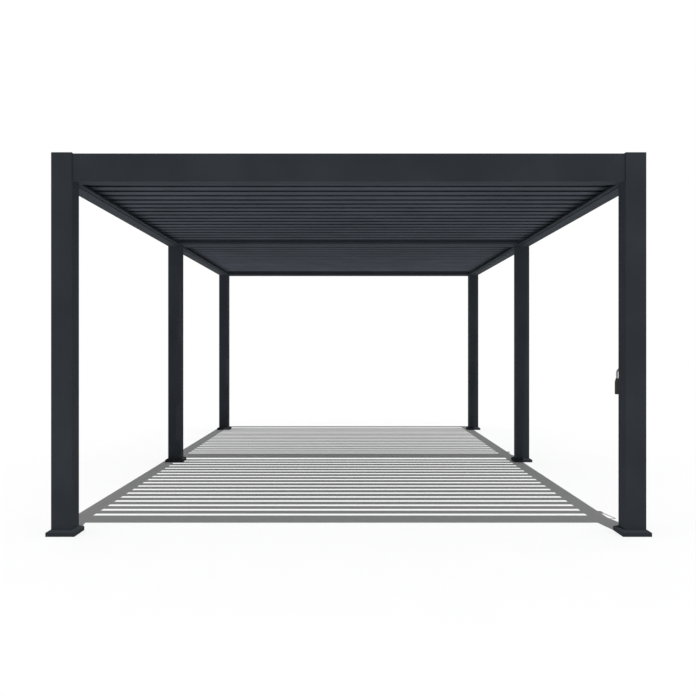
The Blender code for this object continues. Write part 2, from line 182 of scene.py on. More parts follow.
@dataclass(frozen=True)
class PowderCoat:
    """Polyester powder coating baked on aluminium.

    The powder melts into a closed skin with a fine orange peel. It looks satin: a broad
    soft sheen, a colour that is even from afar, and a tone that drifts a little where the
    skin is thicker.

    Attributes:
        name: The material's name.
        deep: The darker tone, as sRGB hex.
        pale: The paler tone, as sRGB hex.
        roughness: Middle value of the sheen's roughness.
        specular: Strength of the sheen.
        peel_mm: Size of the orange peel.
        peel_height_mm: Height of the orange peel.
        grain_mm: Size of the powder's grain.
        drift_mm: Size over which the tone drifts.
        grain_share: How much the grain adds to the drift of the tone.
        tone_span: Where the sum of both lies, from the darker to the paler tone.
        bump: Strength of the orange peel's bump.
        swing: How far the roughness swings either way.
    """

    name: str
    deep: str
    pale: str
    roughness: float = 0.75
    specular: float = 0.04
    peel_mm: float = 2.4
    peel_height_mm: float = 0.035
    grain_mm: float = 0.7
    drift_mm: float = 420.0
    grain_share: float = 0.35
    tone_span: tuple[float, float] = (0.5, 0.85)
    bump: float = 0.6
    swing: float = 0.04

    def material(self) -> bpy.types.Material:
        """Return the coating as a node material."""
        material, tree = new_tree(self.name)
        place = add_node(tree, "ShaderNodeTexCoord").outputs["Object"]
        drift = noise(tree, place, self.drift_mm, detail=3.0)
        grain = noise(tree, place, self.grain_mm, detail=1.0)
        peel = noise(tree, place, self.peel_mm, detail=2.0)
        tone = add_node(tree, "ShaderNodeMath", {"operation": "MULTIPLY_ADD"}, {
            0: grain, 1: self.grain_share, 2: drift}).outputs["Value"]
        share = spread(tree, tone, self.tone_span)
        shader = add_node(tree, "ShaderNodeBsdfPrincipled", inputs={
            "Base Color": two_tone(tree, share, self.deep, self.pale),
            "Roughness": spread(tree, drift, NOISE_SPAN, self.roughness - self.swing,
                                self.roughness + self.swing),
            "Specular IOR Level": self.specular, "IOR": 1.5,
            "Normal": bumped(tree, peel, self.bump, self.peel_height_mm)})
        close_tree(tree, shader.outputs["BSDF"])
        return material


@dataclass(frozen=True)
class ZincPlate:
    """Steel with a bright zinc plating, as on link bars, arms and crank rods.

    Drawn along its length before plating, so the sheen streaks one way, and the passivated
    zinc clouds a little from grey to a faint blue.

    Attributes:
        name: The material's name.
        deep: The darker tone, as sRGB hex.
        pale: The paler tone, as sRGB hex.
        roughness: Middle value of the sheen's roughness.
        cloud_mm: Size of the clouds.
        streak_mm: Width of the streaks.
        streak_height_mm: Height of the streaks.
        bump: Strength of the streaks' bump.
        stretch: How many times longer than wide the streaks are.
        swing: How far the roughness swings either way.
    """

    name: str = "zinc_plated_steel"
    deep: str = "8f9297"
    pale: str = "b2b5b8"
    roughness: float = 0.38
    cloud_mm: float = 28.0
    streak_mm: float = 0.6
    streak_height_mm: float = 0.02
    bump: float = 0.3
    stretch: float = 40.0
    swing: float = 0.08

    def material(self) -> bpy.types.Material:
        """Return the plated steel as a node material."""
        material, tree = new_tree(self.name)
        place = add_node(tree, "ShaderNodeTexCoord").outputs["Object"]
        cloud = noise(tree, place, self.cloud_mm, detail=4.0)
        along = add_node(tree, "ShaderNodeMapping", {"vector_type": "POINT"}, {
            "Vector": place, "Scale": (1.0, 1 / self.stretch, 1 / self.stretch)})
        streak = noise(tree, along.outputs["Vector"], self.streak_mm, detail=2.0)
        shader = add_node(tree, "ShaderNodeBsdfPrincipled", inputs={
            "Base Color": two_tone(tree, cloud, self.deep, self.pale), "Metallic": 1.0,
            "Roughness": spread(tree, streak, NOISE_SPAN, self.roughness - self.swing,
                                self.roughness + self.swing),
            "Normal": bumped(tree, streak, self.bump, self.streak_height_mm)})
        close_tree(tree, shader.outputs["BSDF"])
        return material


@dataclass(frozen=True)
class MouldedPlastic:
    """Dark moulded plastic, such as glass-filled nylon or EPDM rubber.

    The mould is spark-eroded, so the skin has a fine even grain that breaks up the gloss.

    Attributes:
        name: The material's name.
        deep: The darker tone, as sRGB hex.
        pale: The paler tone, as sRGB hex.
        roughness: Middle value of the sheen's roughness.
        specular: Strength of the sheen.
        grain_mm: Size of the skin's grain.
        grain_height_mm: Height of the skin's grain.
        clouding: Size of the clouds in the tone, as a multiple of the grain's.
        bump: Strength of the grain's bump.
        swing: How far the roughness swings either way.
    """

    name: str
    deep: str
    pale: str
    roughness: float
    specular: float = 0.3
    grain_mm: float = 1.1
    grain_height_mm: float = 0.05
    clouding: float = 25
    bump: float = 0.5
    swing: float = 0.05

    def material(self) -> bpy.types.Material:
        """Return the plastic as a node material."""
        material, tree = new_tree(self.name)
        place = add_node(tree, "ShaderNodeTexCoord").outputs["Object"]
        grain = add_node(tree, "ShaderNodeTexVoronoi", {"feature": "F1"}, {
            "Vector": place, "Scale": 1 / (self.grain_mm * MM)}).outputs["Distance"]
        cloud = noise(tree, place, self.clouding * self.grain_mm, detail=3.0)
        shader = add_node(tree, "ShaderNodeBsdfPrincipled", inputs={
            "Base Color": two_tone(tree, cloud, self.deep, self.pale),
            "Roughness": spread(tree, grain, (0.0, 1.0), self.roughness - self.swing,
                                self.roughness + self.swing),
            "Specular IOR Level": self.specular,
            "Normal": bumped(tree, grain, self.bump, self.grain_height_mm)})
        close_tree(tree, shader.outputs["BSDF"])
        return material


Finish = PowderCoat | ZincPlate | MouldedPlastic

FRAME_COAT = PowderCoat("anthracite_powder_coat", deep="33373c", pale="3a3f45")
COVER_COAT = PowderCoat("cover_powder_coat", deep="303338", pale="373b40", roughness=0.8)
# Painted light: the blades wear the frame's anthracite coat, made paler here so that their faces in
# the shaded slots read as bright as the lit beam undersides.
PAINTED_LIGHT_BLADE_COAT = PowderCoat("louvre_powder_coat", deep="454a51", pale="4d525a", peel_mm=2.0)
STEEL = ZincPlate()
ROD_STEEL = ZincPlate("crank_rod_steel", deep="7b7e82", pale="94979a", roughness=0.42)
NYLON = MouldedPlastic("black_nylon", deep="1c1d1f", pale="232426", roughness=0.6)
HOUSING = MouldedPlastic("gearbox_nylon", deep="222528", pale="2a2d30", roughness=0.55)
GRIP_PLASTIC = MouldedPlastic("grip_polypropylene", deep="3a3a3a", pale="424242", roughness=0.55)
RUBBER = MouldedPlastic("epdm_rubber", deep="0f1011", pale="151617", roughness=0.8, specular=0.2)

_made: dict[str, bpy.types.Material] = {}


def coat(finish: Finish) -> bpy.types.Material:
    """Return a finish's material, made once."""
    if finish.name not in _made:
        _made[finish.name] = finish.material()
    return _made[finish.name]


@dataclass(frozen=True)
class Spot:
    """Where a face or an edge on the bench is, and how it lies.

    Attributes:
        place: Its middle.
        normal: A face's normal, or an edge's direction.
        turn: The angle between an edge's two faces, and 0 for a face.
    """

    place: Vector
    normal: Vector
    turn: float

    def faces(self, way: Vector) -> bool:
        """Say whether the normal points that way."""
        return self.normal.dot(way) > ALIGNED

    def runs(self, way: Vector) -> bool:
        """Say whether the normal or the edge lies along a line."""
        return abs(self.normal.dot(way)) > ALIGNED


class Bench:
    """A piece on the work bench: one object in edit mode, shaped by operators.

    The shape in hand is what shows. A shape that is done is parked, which hides it from
    selection, so that the next one is picked by place and normal alone.
    """

    def __init__(self, name: str) -> None:
        """Start an empty piece at the origin."""
        if bpy.context.mode != "OBJECT":
            bpy.ops.object.mode_set(mode="OBJECT")
        bpy.ops.object.select_all(action="DESELECT")
        self.piece = bpy.data.objects.new(name, bpy.data.meshes.new(name))
        bpy.context.scene.collection.objects.link(self.piece)
        bpy.context.view_layer.objects.active = self.piece
        self.piece.select_set(True)
        self.finishes: list[Finish] = []
        bpy.ops.object.mode_set(mode="EDIT")

    def cube(self, low: Vector, high: Vector) -> None:
        """Add a block between two corners."""
        bpy.ops.mesh.select_all(action="DESELECT")
        bpy.ops.mesh.primitive_cube_add(size=1.0, location=(low + high) / 2, scale=high - low)

    def rod(self, start: Vector, end: Vector, radius: float, sides: int) -> None:
        """Add a round bar between two points."""
        bpy.ops.mesh.select_all(action="DESELECT")
        way = end - start
        bpy.ops.mesh.primitive_cylinder_add(
            vertices=sides, radius=radius, depth=way.length, location=(start + end) / 2,
            rotation=way.to_track_quat("Z", "Y").to_euler(),
        )

    def pick(self, kind: Pick, test: Callable[[Spot], bool]) -> int:
        """Select only the shown faces or edges that pass a test.

        Args:
            kind: Whether faces or edges are picked.
            test: Says of a spot whether it is wanted.

        Returns:
            How many were picked.
        """
        bpy.ops.mesh.select_all(action="DESELECT")
        bpy.context.tool_settings.mesh_select_mode = kind.value
        shape = bmesh.from_edit_mesh(self.piece.data)
        shape.normal_update()
        wanted = []
        if kind is Pick.FACES:
            for face in shape.faces:
                if not face.hide and test(Spot(face.calc_center_median(), face.normal, 0.0)):
                    wanted.append(face)
        else:
            for edge in shape.edges:
                first, last = (corner.co for corner in edge.verts)
                spot = Spot((first + last) / 2, (last - first).normalized(),
                            edge.calc_face_angle(0.0))
                if not edge.hide and test(spot):
                    wanted.append(edge)
        for item in wanted:
            item.select_set(True)
        shape.select_flush_mode()
        bmesh.update_edit_mesh(self.piece.data)
        return len(wanted)

    def pull(self, way: Vector) -> None:
        """Extrude what is picked along a vector."""
        bpy.ops.mesh.extrude_region_move(TRANSFORM_OT_translate={"value": way})

    def pull_faces(self, test: Callable[[Spot], bool], way: Vector) -> None:
        """Pick faces by a test and extrude them along a vector."""
        self.pick(Pick.FACES, test)
        self.pull(way)

    def cut(self, place: Vector, normal: Vector) -> None:
        """Bisect all that shows with a plane."""
        bpy.ops.mesh.select_all(action="SELECT")
        bpy.ops.mesh.bisect(plane_co=place, plane_no=normal, use_fill=False)

    def inset(self, width: float, depth: float = 0.0) -> None:
        """Inset the picked faces, and raise or sink them by a depth."""
        bpy.ops.mesh.inset(thickness=width, depth=depth, use_even_offset=True)

    def widen(self, factor: float, about: Vector) -> None:
        """Scale what is picked sideways about an upright axis."""
        bpy.ops.transform.resize(value=(factor, factor, 1.0), center_override=about)

    def tidy(self) -> None:
        """Dissolve the edges between faces that lie in one plane."""
        bpy.ops.mesh.select_all(action="SELECT")
        bpy.ops.mesh.dissolve_limited(angle_limit=math.radians(0.5))

    def round_off(self, test: Callable[[Spot], bool], radius: float, segments: int = 3) -> None:
        """Round the sharp edges that pass a test."""
        if self.pick(Pick.EDGES, lambda spot: spot.turn > SHARP and test(spot)):
            bpy.ops.mesh.bevel(
                offset=radius, offset_type="OFFSET", segments=segments, affect="EDGES",
                clamp_overlap=True,
            )

    def drill(self, test: Callable[[Spot], bool], rim: float, depth: Vector) -> None:
        """Sink a blind hole into the picked round faces, leaving a rim."""
        self.pick(Pick.FACES, test)
        self.inset(rim)
        self.pull(depth)

    def park(self, finish: Finish) -> None:
        """Give the shown shape a finish and hide it until the piece is done."""
        if finish not in self.finishes:
            self.finishes.append(finish)
        at = self.finishes.index(finish)
        shape = bmesh.from_edit_mesh(self.piece.data)
        for face in shape.faces:
            if not face.hide:
                face.material_index = at
        bmesh.update_edit_mesh(self.piece.data)
        bpy.ops.mesh.select_all(action="SELECT")
        bpy.ops.mesh.hide(unselected=False)

    def turned(self, start: Vector, end: Vector, radius: float, sides: int, edge: float,
               finish: Finish, segments: int = 2) -> None:
        """Add a round bar, round its far end off and park it.

        Args:
            start: Middle of its near end.
            end: Middle of its far end.
            radius: Its radius.
            sides: Its number of sides.
            edge: Radius of the far end's edge.
            finish: What it is made of.
            segments: Steps round that edge.
        """
        self.rod(start, end, radius, sides)
        way = (end - start).normalized()
        self.round_off(lambda spot: (spot.place - end).dot(way) > -HAIR, edge, segments)
        self.park(finish)

    def done(self) -> bpy.types.Object:
        """Leave edit mode, smooth the round parts and put the finishes on.

        Returns:
            The finished object, with its place in its mesh.
        """
        bpy.ops.mesh.reveal(select=False)
        bpy.ops.mesh.select_all(action="SELECT")
        bpy.ops.mesh.normals_make_consistent(inside=False)
        bpy.ops.object.mode_set(mode="OBJECT")
        for finish in self.finishes:
            self.piece.data.materials.append(coat(finish))
        bpy.ops.object.shade_smooth_by_angle(angle=SHARP)
        weighted = self.piece.modifiers.new("even_flats", "WEIGHTED_NORMAL")
        weighted.keep_sharp = True
        bpy.ops.object.modifier_apply(modifier=weighted.name)
        return self.piece


def settle(piece: bpy.types.Object, body: str, slot: str, *nodes: str) -> bpy.types.Object:
    """Let a finished piece ride a body and stand for its nodes."""
    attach(piece, body)
    if nodes:
        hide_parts(*nodes)
    log.info("%s rides on %s", piece.name, body)
    return piece


def copied(piece: bpy.types.Object, name: str, move: Matrix) -> bpy.types.Object:
    """Copy a piece with a mesh of its own, moved by a matrix."""
    twin = piece.copy()
    twin.data = piece.data.copy()
    twin.name = name
    twin.data.name = name
    twin.data.transform(move)
    bpy.context.scene.collection.objects.link(twin)
    return twin


def discard(piece: bpy.types.Object) -> None:
    """Remove a pattern piece once its copies are made."""
    mesh = piece.data
    bpy.data.objects.remove(piece)
    bpy.data.meshes.remove(mesh)


@dataclass(frozen=True)
class Post:
    """A square aluminium post with a thin cap on a rubber gasket.

    Attributes:
        edge: Radius of the post's long edges.
        cap: Thickness of the cap.
        groove: Height and depth of the shadow groove under the cap.
        border: Width of the cap's flat rim.
        border_drop: How far the rim lies under the cap's middle.
    """

    edge: float = 0.0015
    cap: float = 0.005
    groove: float = 0.001
    border: float = 0.009
    border_drop: float = 0.0006

    def build(self, row: Row, side: Side) -> bpy.types.Object:
        """Model one post at its node's place.

        Args:
            row: The post's row.
            side: The post's side.

        Returns:
            The finished post.
        """
        node = f"post_{row.name.lower()}_{side.name.lower()}"
        low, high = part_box(node)
        cap_under = high.z - self.cap
        shaft_top = cap_under - self.groove
        bench = Bench(f"coated_{node}")
        bench.cube(low, Vector((high.x, high.y, shaft_top)))
        bench.round_off(lambda spot: spot.runs(UP), self.edge)
        bench.park(FRAME_COAT)
        inner = Vector((self.groove, self.groove, 0.0))
        bench.cube(Vector((low.x, low.y, shaft_top - self.groove)) + inner,
                   Vector((high.x, high.y, cap_under + self.groove)) - inner)
        bench.round_off(lambda spot: spot.runs(UP), self.edge, 2)
        bench.park(RUBBER)
        bench.cube(Vector((low.x, low.y, cap_under)), high)
        bench.pick(Pick.FACES, lambda spot: spot.faces(UP))
        bench.inset(self.border)
        bench.inset(self.border_drop, 0.0)
        bench.round_off(lambda spot: spot.runs(UP), self.edge)
        bench.round_off(lambda spot: spot.place.z > high.z - HAIR, self.edge / 2, 2)
        bench.park(FRAME_COAT)
        return settle(bench.done(), "root", "frame_coating", node)


@dataclass(frozen=True)
class BaseCover:
    """A low square cover round a post's foot, with a sloped top.

    Attributes:
        edge_height: Height of its upright rim.
        floor: Thickness under the post.
        edge: Radius of the rim's edges.
        gap: Room between the cover and the post.
    """

    edge_height: float = 0.024
    floor: float = 0.008
    edge: float = 0.0022
    gap: float = 0.0004

    def build(self, row: Row, side: Side) -> bpy.types.Object:
        """Model one cover at its node's place.

        Args:
            row: The row of the post that it goes round.
            side: The side of that post.

        Returns:
            The finished cover.
        """
        tail = f"{row.name.lower()}_{side.name.lower()}"
        node = f"base_cover_{tail}"
        low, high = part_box(node)
        post_low, post_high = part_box(f"post_{tail}")
        collar = post_low.x - self.gap - low.x
        bench = Bench(f"coated_{node}")
        bench.cube(low, Vector((high.x, high.y, self.edge_height)))
        bench.pick(Pick.FACES, lambda spot: spot.faces(UP))
        bench.inset(collar, high.z - self.edge_height)
        bench.pull(-UP * (high.z - self.floor))
        bench.round_off(lambda spot: spot.runs(UP) and abs(spot.place.x - post_low.x) > self.gap * 2
                        and abs(spot.place.x - post_high.x) > self.gap * 2, self.edge)
        rim = self.edge_height - HAIR
        bench.round_off(lambda spot: rim < spot.place.z < self.edge_height + HAIR, self.edge, 4)
        bench.round_off(lambda spot: spot.place.z > high.z - HAIR, self.gap, 2)
        bench.park(COVER_COAT)
        return settle(bench.done(), "root", "cover_coating", node)


@dataclass(frozen=True)
class Heading:
    """Which way a beam runs and which way its gutter lies.

    Attributes:
        along: Unit vector along the beam.
        inward: Unit vector across the beam, towards its gutter.
    """

    along: Vector
    inward: Vector

    def corners(self, across: tuple[float, float], run: tuple[float, float],
                height: tuple[float, float]) -> tuple[Vector, Vector]:
        """Turn spans along the beam's own directions into two corners.

        Args:
            across: Span along the inward direction.
            run: Span along the beam.
            height: Span upwards.

        Returns:
            The lowest and the highest corner.
        """
        ends = [self.inward * a + self.along * b + UP * c for a, b, c in zip(across, run, height)]
        return Vector(map(min, *ends)), Vector(map(max, *ends))


@dataclass(frozen=True)
class GutterForm:
    """What the edge beams and the middle beam share: a gutter floor with an upright lip.

    Attributes:
        floor: Thickness of the gutter's floor.
        flange: Width of the flange that carries an edge beam's lip.
        rise: How far that flange is stepped up from the floor.
        lip: Thickness of the lip.
        lip_height: The lip's top, from the gutter's underside.
        edge: Radius of the thin edges.
    """

    floor: float = 0.004
    flange: float = 0.023
    rise: float = 0.007
    lip: float = 0.003
    lip_height: float = 0.018
    edge: float = 0.0006

    def add(self, bench: Bench, heading: Heading, wall: float, rim: float, under: float,
            stepped: bool) -> None:
        """Pull a gutter out of a wall that is on the bench.

        Args:
            bench: The bench with the wall on it.
            heading: The beam's directions.
            wall: Where the wall's inner face is, along the inward direction.
            rim: Where the gutter ends, along the inward direction.
            under: Height of the gutter's underside.
            stepped: Whether the floor steps up to a flange before the lip.
        """
        inward = heading.inward
        top = under + self.floor
        bench.cut(UP * top, UP)
        if stepped:
            bench.pull_faces(lambda spot: spot.faces(inward) and spot.place.z < top,
                             inward * (rim - self.flange - wall))
            bench.cut(inward * (rim - self.flange - self.floor), inward)
            bench.pull_faces(
                lambda spot: spot.faces(UP) and abs(spot.place.z - top) < HAIR
                and spot.place.dot(inward) > rim - self.flange - self.floor,
                UP * (self.rise - self.floor))
            bench.pull(UP * self.floor)
            top += self.rise
            bench.pull_faces(
                lambda spot: spot.faces(inward) and under + self.rise < spot.place.z < top
                and spot.place.dot(inward) > wall + HAIR,
                inward * self.flange)
        else:
            bench.pull_faces(lambda spot: spot.faces(inward) and spot.place.z < top,
                             inward * (rim - wall))
        bench.cut(inward * (rim - self.lip), inward)
        bench.pull_faces(
            lambda spot: spot.faces(UP) and abs(spot.place.z - top) < HAIR
            and spot.place.dot(inward) > rim - self.lip,
            UP * (under + self.lip_height - top))


@dataclass(frozen=True)
class Shelf:
    """A flat shelf between a beam and the first blade of a bay.

    Attributes:
        thickness: Thickness of the plate.
        over: Height of its underside over the pivots.
        wide: Half its width past the posts.
        edge: Radius of its edges.
    """

    thickness: float = 0.003
    over: float = 0.021
    wide: float = 1.735
    edge: float = 0.0006

    def add(self, bench: Bench, narrow: float, root: float, shoulder: float, end: float,
            pivot_z: float) -> None:
        """Model the shelf as a shape of its own on the bench.

        Args:
            bench: The bench to model on.
            narrow: Half its width between the posts.
            root: Y where it meets the beam.
            shoulder: Y where it widens.
            end: Y of its free edge.
            pivot_z: Height of the blades' pivots.
        """
        low = pivot_z + self.over
        bench.cube(Vector((-self.wide, shoulder, low)),
                   Vector((self.wide, end, low + self.thickness)))
        bench.cut(ACROSS * narrow, ACROSS)
        bench.cut(ACROSS * -narrow, ACROSS)
        bench.pull_faces(
            lambda spot: spot.faces(-ALONG) and abs(spot.place.x) < narrow,
            ALONG * (root - shoulder))
        bench.tidy()
        bench.round_off(lambda spot: spot.runs(ACROSS), self.edge, 2)
        bench.park(FRAME_COAT)


@dataclass(frozen=True)
class Beams:
    """The beams round the edge and across the middle, all with gutters.

    Attributes:
        web: Thickness of an edge beam's upright wall.
        reach: How far an edge beam's gutter ends from its outer face.
        edge: Radius of the web's edges.
        middle_box: Width of the middle beam's box.
        middle_half: Half the middle beam's width over its gutters.
        gap: Room between a beam and a post.
        gutter: Form of the gutters.
        shelf: Form of the shelves.
    """

    web: float = 0.040
    reach: float = 0.116
    edge: float = 0.0015
    middle_box: float = 0.094
    middle_half: float = 0.115
    gap: float = 0.0003
    gutter: GutterForm = GutterForm()
    shelf: Shelf = Shelf()

    def _edge_beam(self, bench: Bench, heading: Heading, out: float, run: tuple[float, float],
                   height: tuple[float, float]) -> None:
        """Model a web and its gutter on the bench."""
        wall = out + self.web
        rim = out + self.reach
        bench.cube(*heading.corners((out, wall), run, height))
        self.gutter.add(bench, heading, wall, rim, height[0], stepped=True)
        bench.tidy()
        outer = out + HAIR
        bench.round_off(
            lambda spot: spot.runs(heading.along) and spot.place.dot(heading.inward) < outer,
            self.edge)
        bench.round_off(
            lambda spot: spot.runs(heading.along)
            and spot.place.dot(heading.inward) > outer + self.edge,
            self.gutter.edge, 2)
        bench.park(FRAME_COAT)

    def side(self, side: Side, row: Row) -> bpy.types.Object:
        """Model the side beam of a bay.

        Args:
            side: The side that it is on.
            row: The end of the pergola that its bay is at.

        Returns:
            The finished beam.
        """
        node = f"beam_{side.name.lower()}_{row.name.lower()}"
        low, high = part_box(node)
        heading = Heading(ALONG, ACROSS * -side.value)
        out = -max(abs(low.x), abs(high.x))
        bench = Bench(f"coated_{node}")
        self._edge_beam(bench, heading, out, (low.y, high.y), (low.z, high.z))
        return settle(bench.done(), "root", "frame_coating", node)

    def end(self, row: Row, pivot_z: float) -> bpy.types.Object:
        """Model the front beam with its shelf, or the rear beam.

        Args:
            row: The end that it closes.
            pivot_z: Height of the blades' pivots.

        Returns:
            The finished beam.
        """
        node = f"beam_{row.name.lower()}"
        low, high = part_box(node)
        heading = Heading(ACROSS, ALONG * -row.value)
        out = -max(abs(low.y), abs(high.y))
        post_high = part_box(f"post_{row.name.lower()}_left")[1]
        half = -post_high.x - self.gap
        bench = Bench(f"coated_{node}")
        self._edge_beam(bench, heading, out, (-half, half), (low.z, high.z))
        if row is Row.FRONT:
            self.shelf.add(bench, half, out + self.web / 2, post_high.y + self.gap, high.y, pivot_z)
        return settle(bench.done(), "root", "frame_coating", node)

    def middle(self, pivot_z: float) -> bpy.types.Object:
        """Model the cross beam between the middle posts, with both gutters and a shelf.

        Args:
            pivot_z: Height of the blades' pivots.

        Returns:
            The finished beam.
        """
        node = "beam_middle"
        low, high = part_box(node)
        post_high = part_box("post_middle_left")[1]
        narrow = -post_high.x - self.gap
        notch = post_high.y + self.gap
        half_box = self.middle_box / 2
        bench = Bench(f"coated_{node}")
        bench.cube(Vector((-narrow, -half_box, low.z)), Vector((narrow, half_box, high.z)))
        for inward in (ALONG, -ALONG):
            self.gutter.add(
                bench, Heading(ACROSS, inward), half_box, self.middle_half, low.z, stepped=False)
        bench.tidy()
        bench.round_off(
            lambda spot: spot.runs(ACROSS) and abs(abs(spot.place.y) - half_box) < HAIR
            and spot.place.z > high.z - HAIR, self.edge)
        bench.round_off(
            lambda spot: spot.runs(ACROSS) and abs(spot.place.y) > half_box + self.edge,
            self.gutter.edge, 2)
        bench.park(FRAME_COAT)
        self.shelf.add(bench, narrow, half_box / 2, notch, high.y, pivot_z)
        return settle(bench.done(), "root", "frame_coating", node)


@dataclass(frozen=True)
class Blade:
    """One louvre blade: an extruded hollow section with moulded end caps.

    It is modelled closed about its pivot, with the channel and its lip in front and the
    lapping plate behind.

    Attributes:
        half: Half the body's thickness.
        front: How far the body reaches in front of the pivot.
        lip_out: How far the channel's lip reaches in front of the pivot.
        rear: How far the body reaches behind the pivot.
        plate_end: How far the lapping plate reaches behind the pivot.
        skin: Thickness of the channel's floor, the lip and the plate.
        lip_top: Height of the lip over the pivot.
        edge: Radius of the long edges.
        cap: Thickness of an end cap.
        cap_inset: How far a cap stands in from the section's faces.
        end: Distance of a blade's ends from the middle.
        seal_width: Width of the rubber strip.
        seal_height: Height of the rubber strip.
        seal_round: Radius of its lower edges, as a share of that height.
        pivot_radius: Radius of a pivot pin.
        pivot_end: Distance of a pivot pin's end from the middle.
        pivot_sides: Sides of a pivot pin.
        collar_radius: Radius of the collar round a pivot pin.
        collar_end: Distance of a collar's face from the middle.
        collar_sides: Sides of a collar.
        pin_edge: Radius of the edges of pins and collars.
        arm_radius: Distance of the arm's pin from the pivot.
        arm_turn: Direction of the arm on a closed blade.
        arm_half: Half the arm's width.
        arm_low: Distance of the arm's inner face from the middle.
        arm_high: Distance of the arm's outer face from the middle.
        arm_edge: Radius of the edges of the arm and its pin.
        arm_round: Radius of the arm's ends, as a share of its half width.
        pin_radius: Radius of the arm's pin.
        pin_end: Distance of that pin's end from the middle.
        clip_radius: Radius of the clip on that pin.
        clip_low: Distance of the clip's inner face from the middle.
        clip_high: Distance of the clip's outer face from the middle.
        clip_sides: Sides of the clip.
        screw_radius: Radius of a cap screw's head.
        screw_head: Height of a cap screw's head.
        screw_sink: Depth of a cap screw's hole, as a multiple of that height.
        screw_front: Distance of a cap screw from the body's front.
        screw_rear: Distance of a cap screw from the body's rear.
        screw_sides: Sides of a cap screw and of the arm's pin.
        rest_turn: Angle by which the blades stand open at rest.
    """

    half: float = 0.024
    front: float = 0.060
    lip_out: float = 0.071
    rear: float = 0.0695
    plate_end: float = 0.0859
    skin: float = 0.003
    lip_top: float = 0.0155
    edge: float = 0.0010
    cap: float = 0.002
    cap_inset: float = 0.0005
    end: float = 1.735
    seal_width: float = 0.006
    seal_height: float = 0.002
    seal_round: float = 0.8
    pivot_radius: float = 0.006
    pivot_end: float = 1.763
    pivot_sides: int = 20
    collar_radius: float = 0.0095
    collar_end: float = 1.7415
    collar_sides: int = 24
    pin_edge: float = 0.0008
    arm_radius: float = 0.040
    arm_turn: float = math.radians(-135)
    arm_half: float = 0.007
    arm_low: float = 1.7335
    arm_high: float = 1.7362
    arm_edge: float = 0.0004
    arm_round: float = 0.95
    pin_radius: float = 0.003
    pin_end: float = 1.7475
    clip_radius: float = 0.0052
    clip_low: float = 1.7463
    clip_high: float = 1.7472
    clip_sides: int = 20
    screw_radius: float = 0.0032
    screw_head: float = 0.0008
    screw_sink: float = 1.2
    screw_front: float = 0.018
    screw_rear: float = 0.014
    screw_sides: int = 16
    rest_turn: float = math.radians(75)

    def arm_pin(self, turn: float) -> Vector:
        """Return the arm pin's place from the pivot, on a blade opened by an angle."""
        angle = self.arm_turn + turn
        along, up = self.arm_radius * math.cos(angle), self.arm_radius * math.sin(angle)
        return ALONG * along + UP * up

    def _body(self, bench: Bench) -> None:
        """Model the extruded section and the moulded caps on its ends."""
        length = self.end - self.cap
        bench.cube(Vector((-length, -self.front, -self.half)),
                   Vector((length, self.rear, self.half)))
        plate_low = self.half - self.skin
        floor_top = -self.half + self.skin
        bench.cut(UP * plate_low, UP)
        bench.pull_faces(
            lambda spot: spot.faces(ALONG) and spot.place.z > plate_low,
            ALONG * (self.plate_end - self.rear))
        bench.cut(UP * floor_top, UP)
        bench.pull_faces(
            lambda spot: spot.faces(-ALONG) and spot.place.z < floor_top,
            -ALONG * (self.lip_out - self.front))
        lip_in = -self.lip_out + self.skin
        bench.cut(ALONG * lip_in, ALONG)
        bench.pull_faces(
            lambda spot: spot.faces(UP) and spot.place.y < lip_in, UP * (self.lip_top - floor_top))
        bench.tidy()
        bench.round_off(lambda spot: spot.runs(ACROSS), self.edge, 2)
        # The body takes the paler blade coat, whose tone holds painted light.
        bench.park(PAINTED_LIGHT_BLADE_COAT)

    def _caps(self, bench: Bench) -> None:
        """Model a moulded cap on each end, of the section's own outline."""
        start = self.end - self.cap
        for way in (ACROSS, -ACROSS):
            x_span = sorted((way.x * (start - self.cap), way.x * self.end))
            inset = self.cap_inset
            bench.cube(Vector((x_span[0], -self.front + inset, -self.half + inset)),
                       Vector((x_span[1], self.rear - inset, self.half - inset)))
            floor_top = -self.half + self.skin - inset
            bench.cut(UP * floor_top, UP)
            bench.pull_faces(
                lambda spot: spot.faces(-ALONG) and spot.place.z < floor_top,
                -ALONG * (self.lip_out - self.front))
            bench.tidy()
            bench.round_off(
                lambda spot, way=way: spot.place.dot(way) > self.end - HAIR, self.cap / 4, 2)
            bench.park(NYLON)

    def _seal(self, bench: Bench) -> None:
        """Model the rubber strip under the lapping plate."""
        low = self.half - self.skin - self.seal_height
        middle = (self.rear + self.plate_end) / 2
        bench.cube(
            Vector((-self.end + self.cap, middle - self.seal_width / 2, low)),
            Vector((self.end - self.cap, middle + self.seal_width / 2, low + self.seal_height)))
        bench.round_off(lambda spot: spot.runs(ACROSS) and spot.place.z < low + HAIR,
                        self.seal_height * self.seal_round, 4)
        bench.park(RUBBER)

    def _pivots(self, bench: Bench) -> None:
        """Model the pivot pins and their collars on both ends."""
        for way in (ACROSS, -ACROSS):
            start = way * (self.end - self.cap)
            bench.turned(start, way * self.pivot_end, self.pivot_radius, self.pivot_sides,
                         self.pin_edge, STEEL)
            bench.turned(start, way * self.collar_end, self.collar_radius, self.collar_sides,
                         self.pin_edge, NYLON)

    def _screws(self, bench: Bench) -> None:
        """Model the two screws that hold each cap."""
        for way in (ACROSS, -ACROSS):
            for y in (-self.front + self.screw_front, self.rear - self.screw_rear):
                foot = way * (self.end - self.cap) + ALONG * y
                head = way * (self.end + self.screw_head) + ALONG * y
                bench.rod(foot, head, self.screw_radius, self.screw_sides)
                bench.drill(lambda spot, way=way: spot.faces(way), self.screw_radius / 2,
                            way * -self.screw_head * self.screw_sink)
                bench.park(STEEL)

